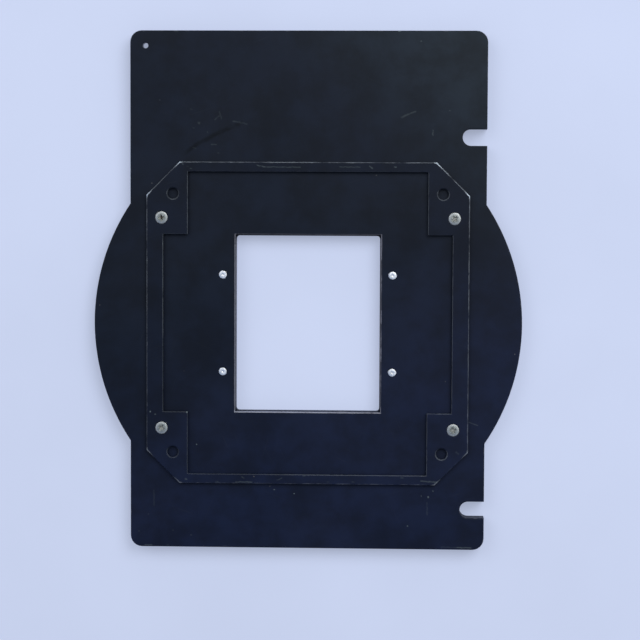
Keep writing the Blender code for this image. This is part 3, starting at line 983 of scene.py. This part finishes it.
def zinc_finish():
    """Dull zinc plate with a brighter rim, blotches, dark dirt in the recess by the object's colour, and
    otherwise a paler, duller recess, partly packed filling and partly painted light.
    """
    look = Look("zinc_plate", METAL_SPECULAR)
    shown = look.node("ObjectInfo").outputs
    spread = look.node("CombineXYZ", {2: look.times(shown["Random"], ZINC_SPREAD)}).outputs[0]
    place = look.vector("ADD", look.place, spread)[0]
    blotch = look.node("TexNoise", {"Vector": place, **ZINC_BLOTCHES}).outputs[0]
    grain = look.node("TexNoise", {"Vector": place, **ZINC_GRAIN}).outputs[0]

    uneven = look.times(look.less(blotch, NOISE_MIDDLE), ZINC_RIM_RAGGED)
    rim = look.step(look.plus(look.length(look.flat(look.place)), uneven), *ZINC_RIM)
    across, along = look.axes(look.vector("ABSOLUTE", look.place)[0])[:2]
    spot = look.step(look.plus(look.times(across, ZINC_DIRT_NARROWER), along), *ZINC_DIRT)
    dirt = look.times(spot, look.axes(shown["Color"])[0])
    stain = look.times(look.step(blotch, *ZINC_STAINED), look.step(rim, 1.0, 0.0), ZINC_STAIN_SHARE)
    soiled = look.most(dirt, stain)
    # Painted light: the recess below the face is painted paler and duller, partly for packed filling,
    # partly to lift its shade
    inside = look.times(look.step(look.z, *ZINC_INSIDE), look.less(1.0, dirt))

    bright = look.times(look.step(blotch, *ZINC_BRIGHTENED), ZINC_BRIGHT_SHARE)
    colour = look.mix(bright, look.mix(rim, ZINC_TONE, ZINC_RIM_TONE), ZINC_BRIGHT_TONE)
    colour = look.mix(soiled, look.mix(inside, colour, ZINC_RECESS_FILL_AND_LIGHT_TONE), ZINC_DIRT_TONE)
    dull = look.times(look.most(soiled, inside), ZINC_DULLER)
    height = look.plus(look.times(grain, ZINC_GRAIN_HEIGHT), look.times(blotch, ZINC_BLOTCH_HEIGHT))
    return look.shade(
        base_color=colour,
        roughness=look.plus(look.step(blotch, *ZINC_ROUGHNESS), look.times(dirt, ZINC_DIRT_ROUGHER)),
        metallic=look.less(ZINC_METALLIC, dull),
        normal=look.bump(height, *ZINC_BUMP),
    )


def steel_finish():
    """Bright turned steel with tool rings, faint scratches, and grime in the dimple and on the side."""
    look = Look("turned_steel", METAL_SPECULAR)
    blotch = look.even_noise(*STEEL_BLOTCHES)
    rings = look.math("SINE", look.times(look.length(look.place), STEEL_RINGS))
    scratches = look.step(look.noise(*STEEL_SCRATCHES), *STEEL_SCRATCHED)

    out = look.length(look.flat(look.place))
    ring = look.step(look.size(look.less(out, PIN_DIMPLE)), *STEEL_GRIME_RING)
    side = look.step(out, *STEEL_GRIME_SIDE)
    grime = look.times(look.most(ring, side), look.step(blotch, *STEEL_GRIME_SHARE))

    colour = look.mix(look.step(blotch, *STEEL_BLOTCHED), *STEEL_TONES)
    scratch_height = look.times(scratches, STEEL_SCRATCH_HEIGHT)
    height = look.less(look.times(rings, STEEL_RING_HEIGHT), scratch_height)
    scratch_roughness = look.times(scratches, STEEL_SCRATCH_ROUGHER)
    return look.shade(
        base_color=look.mix(grime, colour, STEEL_GRIME_TONE),
        roughness=look.plus(look.step(blotch, *STEEL_ROUGHNESS), scratch_roughness),
        metallic=look.less(1.0, look.times(grime, STEEL_GRIME_DULLER)),
        normal=look.bump(height, *STEEL_BUMP),
    )


def paper_finish():
    """Pale paper with softened shadows where it is seen or mirrored, which fades into the sky."""
    look = Look("floor_paper", FLOOR_SPECULAR)
    tone = look.scaled(FLOOR_COLOUR, look.pattern(*FLOOR_MOTTLE))
    look.shader.inputs["Roughness"].default_value = FLOOR_ROUGHNESS
    look.shade(base_color=tone, normal=look.bump(look.even_noise(*FLOOR_GRAIN), *FLOOR_BUMP))
    rays = look.node("LightPath").outputs
    seen = look.most(*(rays[f"Is {kind} Ray"] for kind in ("Camera", "Glossy", "Transmission")))
    far = look.step(look.length(look.place), *FLOOR_FADE)
    glow = look.node("Emission", {"Color": look.mix(far, tone, SKY_SEEN)}).outputs[0]
    share = look.step(far, 0.0, 1.0, FLOOR_SEEN_SHARE, 1.0)
    inputs = {0: look.times(seen, share), 1: look.shader.outputs[0], 2: glow}
    mixed = look.node("MixShader", inputs).outputs[0]
    look.tree.links.new(mixed, look.tree.nodes["Material Output"].inputs["Surface"])
    return look.material


# Finished pieces


def gate_edge(gate, is_front):
    """The gate as filed: the front plate's left side moved in, or the back plate's lower side down."""
    if is_front:
        return [Vector((max(point.x, GATE_LEFT), point.y)) for point in gate]
    return [point - Vector((0, BACK_GATE_LOWER * (point.y < GATE_CENTRE.y))) for point in gate]


def plate_hole(hole, thickness, is_front):
    """A round hole with its wall: the front plate's pins fit it, the back's hanging hole is wider."""
    centre, radius = circle_of(hole)
    holds_pin = near(centre, pin_places, radius)
    holds_screw = near(centre, screw_places, radius)
    if is_front and holds_pin:
        radius = PIN_SEAT_RADIUS
    elif not is_front and (centre - HANG_HOLE).length < radius:
        radius += BACK_HOLE_WIDER
    is_plain = holds_pin or holds_screw
    return circle(centre, radius), plain_wall(thickness) if is_plain else broken_wall(thickness, 0)


def finish_plate(name, node, gate_wall, material):
    """A leaf's plate from its CAD outlines, with rounded and uneven edges."""
    low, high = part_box(node)
    thickness = high.z - low.z
    is_front = node == "front_plate"
    outline, gate, *holes = cap_loops(node, high.z)
    walls = [(stepped(outline), broken_wall(thickness, EDGE_SWAY))]
    walls.append((stepped(gate_edge(gate, is_front)), gate_wall(thickness)))
    walls += [plate_hole(hole, thickness, is_front) for hole in holes]
    finished(new_object(name, plate_mesh(name, high.z, walls)), node, material)


def frame_hole(hole, thickness):
    """A seat that fits a screw's head, or a chamfered corner hole with a tighter mouth."""
    centre, radius = circle_of(hole)
    if near(centre, screw_places, radius):
        cone = HEAD_SEAT_RADIUS - SHANK_RADIUS
        seat = [(0, 0, 0), (0, HEAD_SEAT_LAND, 0), (cone, HEAD_SEAT_LAND + cone, 0)]
        return circle(centre, HEAD_SEAT_RADIUS), [*seat, (cone, thickness, 0)]
    depth = CORNER_HOLE_CHAMFER - CORNER_HOLE_TIGHTER
    mouth = [(CORNER_HOLE_TIGHTER, 0, 0), (CORNER_HOLE_CHAMFER, depth, 0)]
    return circle(centre, radius), [*mouth, (CORNER_HOLE_CHAMFER, thickness, 0)]


def finish_frame(material):
    """The frame, resting on the front plate."""
    thickness = frame_top - front_top
    outline, opening, *holes = cap_loops("locating_frame", frame_top)
    walls = [(stepped(loop), broken_wall(thickness, EDGE_SWAY)) for loop in (outline, opening)]
    walls += [frame_hole(hole, thickness) for hole in holes]
    mesh = plate_mesh("stage_frame", frame_top, walls)
    finished(new_object("stage_frame", mesh), "locating_frame", material)


def recess_wing_mesh():
    """One wing of the cross recess, tapered from the overrun above the face to its floor."""
    scale = (RECESS_DEPTH + RECESS_OVERRUN) / RECESS_DEPTH
    length = RECESS_FLOOR_LENGTH + (RECESS_LENGTH - RECESS_FLOOR_LENGTH) * scale
    width = RECESS_FLOOR_WIDTH + (RECESS_WIDTH - RECESS_FLOOR_WIDTH) * scale
    built = bmesh.new()
    bmesh.ops.create_cube(built, size=1)
    for vert in built.verts:
        is_top = vert.co.z > 0
        vert.co.x *= length if is_top else RECESS_FLOOR_LENGTH
        vert.co.y *= width if is_top else RECESS_FLOOR_WIDTH
        vert.co.z = RECESS_OVERRUN if is_top else -RECESS_DEPTH
    return made_mesh("recess_wing", built)


def screw_profile(length):
    """A low domed head with a rounded rim, its cone, and the shank, with the screw's face at 0."""
    dome = HEAD_RADIUS - HEAD_ROUND
    drop = HEAD_SINK + HEAD_DOME
    profile = [(dome * share, -HEAD_SINK - HEAD_DOME * share**2) for share in HEAD_DOME_SHARES]
    profile += rounded_rim(HEAD_RADIUS, -drop, HEAD_ROUND)
    neck = drop + HEAD_ROUND + HEAD_RADIUS - SHANK_RADIUS
    profile += [(SHANK_RADIUS, -neck), (SHANK_RADIUS, TIP_CHAMFER - length)]
    return [*profile, (SHANK_RADIUS - TIP_CHAMFER, -length), (0, -length)]


def recessed(blank):
    """The mesh of a screw's blank with a cross recess, whose edges are broken."""
    wings = []
    for turn in (0, math.pi / 2):
        wing = new_object("recess_wing", recess_wing_mesh())
        wing.rotation_euler.z = turn
        cut = blank.modifiers.new("recess", "BOOLEAN")
        cut.operation = "DIFFERENCE"
        cut.object = wing
        wings.append(wing)
    edges = blank.modifiers.new("recess_edges", "BEVEL")
    edges.width = RECESS_BREAK
    edges.segments = RECESS_BREAK_STEPS
    edges.angle_limit = SHARP_ANGLE
    bpy.context.view_layer.update()
    graph = bpy.context.evaluated_depsgraph_get()
    mesh = bpy.data.meshes.new_from_object(blank.evaluated_get(graph))
    for used in (blank, *wings):
        bpy.data.objects.remove(used)
    return mesh


def screw_mesh(length):
    blank = new_object("screw_blank", turned_mesh("screw_blank", screw_profile(length)))
    mesh = recessed(blank)
    mesh.name = "countersunk_screw"
    cleaned = bmesh.new()
    cleaned.from_mesh(mesh)
    bmesh.ops.remove_doubles(cleaned, verts=cleaned.verts, dist=RECESS_WELD)
    bmesh.ops.dissolve_degenerate(cleaned, edges=cleaned.edges, dist=RECESS_WELD / 2)
    cleaned.to_mesh(mesh)
    cleaned.free()
    mesh.set_sharp_from_angle(angle=SHARP_ANGLE)
    return mesh


def finish_screws(material):
    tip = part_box("frame_screw_top_left")[0].z
    mesh = screw_mesh(frame_top - tip)
    for corner, place in screw_places.items():
        piece = new_object("countersunk_screw_" + corner, mesh.copy(), place)
        piece.rotation_euler.z = math.radians(SCREW_TURNS[corner])
        piece.color = (SCREW_DIRT[corner], 0, 0, 1)
        finished(piece, "frame_screw_" + corner, material)


def finish_pins(material):
    """The film pins, each with a rounded edge and a shallow dimple from its turning."""
    low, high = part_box("guide_pin_top_left")
    rise = high.z - front_top
    length = front_top - low.z
    profile = [(radius, share * rise) for radius, share in PIN_END]
    profile += rounded_rim(PIN_RADIUS, rise, PIN_ROUND)
    profile += [(PIN_RADIUS, TIP_CHAMFER - length), (PIN_RADIUS - TIP_CHAMFER, -length), (0, -length)]
    mesh = turned_mesh("film_pin", profile)
    for corner, place in pin_places.items():
        piece = new_object("film_pin_" + corner, mesh.copy(), place)
        finished(piece, "guide_pin_" + corner, material)


# Stage


def make_floor():
    half = FLOOR_SIZE / 2
    corners = [(-half, -half, 0), (half, -half, 0), (half, half, 0), (-half, half, 0)]
    mesh = bpy.data.meshes.new("floor")
    mesh.from_pydata(corners, [], [(0, 1, 2, 3)])
    mesh.materials.append(paper_finish())
    new_object("floor", mesh)


def make_lamps():
    for name, place in LAMP_PLACES.items():
        light = bpy.data.lights.new(name, "AREA")
        light.shape = "DISK"
        light.size = LAMP_SIZE
        light.energy = LAMP_POWERS[name]
        lamp = new_object(name, light, place)
        lamp.rotation_euler = Vector(place).to_track_quat("Z", "Y").to_euler()
        lamp.visible_camera = False


def make_sky():
    """A plain sky: dim as light, pale where the camera sees it, and graded where it is mirrored."""
    world = bpy.data.worlds.new("sky")
    bpy.context.scene.world = world
    world.use_nodes = True
    sky = Nodes(world.node_tree)
    rays = sky.node("LightPath").outputs
    way = sky.node("TexCoord").outputs["Generated"]
    slope = sky.vector("DOT_PRODUCT", way, SKY_SLOPE)["Value"]
    graded = sky.mix(sky.step(slope, *SKY_SLOPE_ENDS), *SKY_MIRRORED)
    mirrored = sky.most(rays["Is Glossy Ray"], rays["Is Transmission Ray"])
    unseen = sky.mix(mirrored, SKY_LIGHT, graded)
    shown = sky.mix(rays["Is Camera Ray"], unseen, SKY_SEEN)
    sky.tree.links.new(shown, sky.tree.nodes["Background"].inputs["Color"])


def make_camera():
    data = bpy.data.cameras.new("camera")
    data.lens = LENS_MM
    data.sensor_width = SENSOR_MM
    camera = new_object("camera", data)
    turn = Matrix.Identity(4)
    for axis, degrees in CAMERA_TURN:
        turn = turn @ Matrix.Rotation(math.radians(degrees), 4, axis)
    aim = Matrix.Translation(CAMERA_AIM)
    camera.matrix_world = aim @ turn.inverted() @ Matrix.Translation(CAMERA_OFFSET)
    bpy.context.scene.camera = camera


def main():
    make_camera()
    make_lamps()
    make_sky()
    make_floor()
    group = scuff_group()
    finish_plate("front_leaf_plate", "front_plate", front_gate_wall, front_plate_finish(group))
    finish_plate("back_leaf_plate", "back_plate", back_gate_wall, back_plate_finish(group))
    finish_frame(frame_finish(group))
    finish_screws(zinc_finish())
    finish_pins(steel_finish())
    bpy.context.scene.view_settings.view_transform = "Standard"


main()
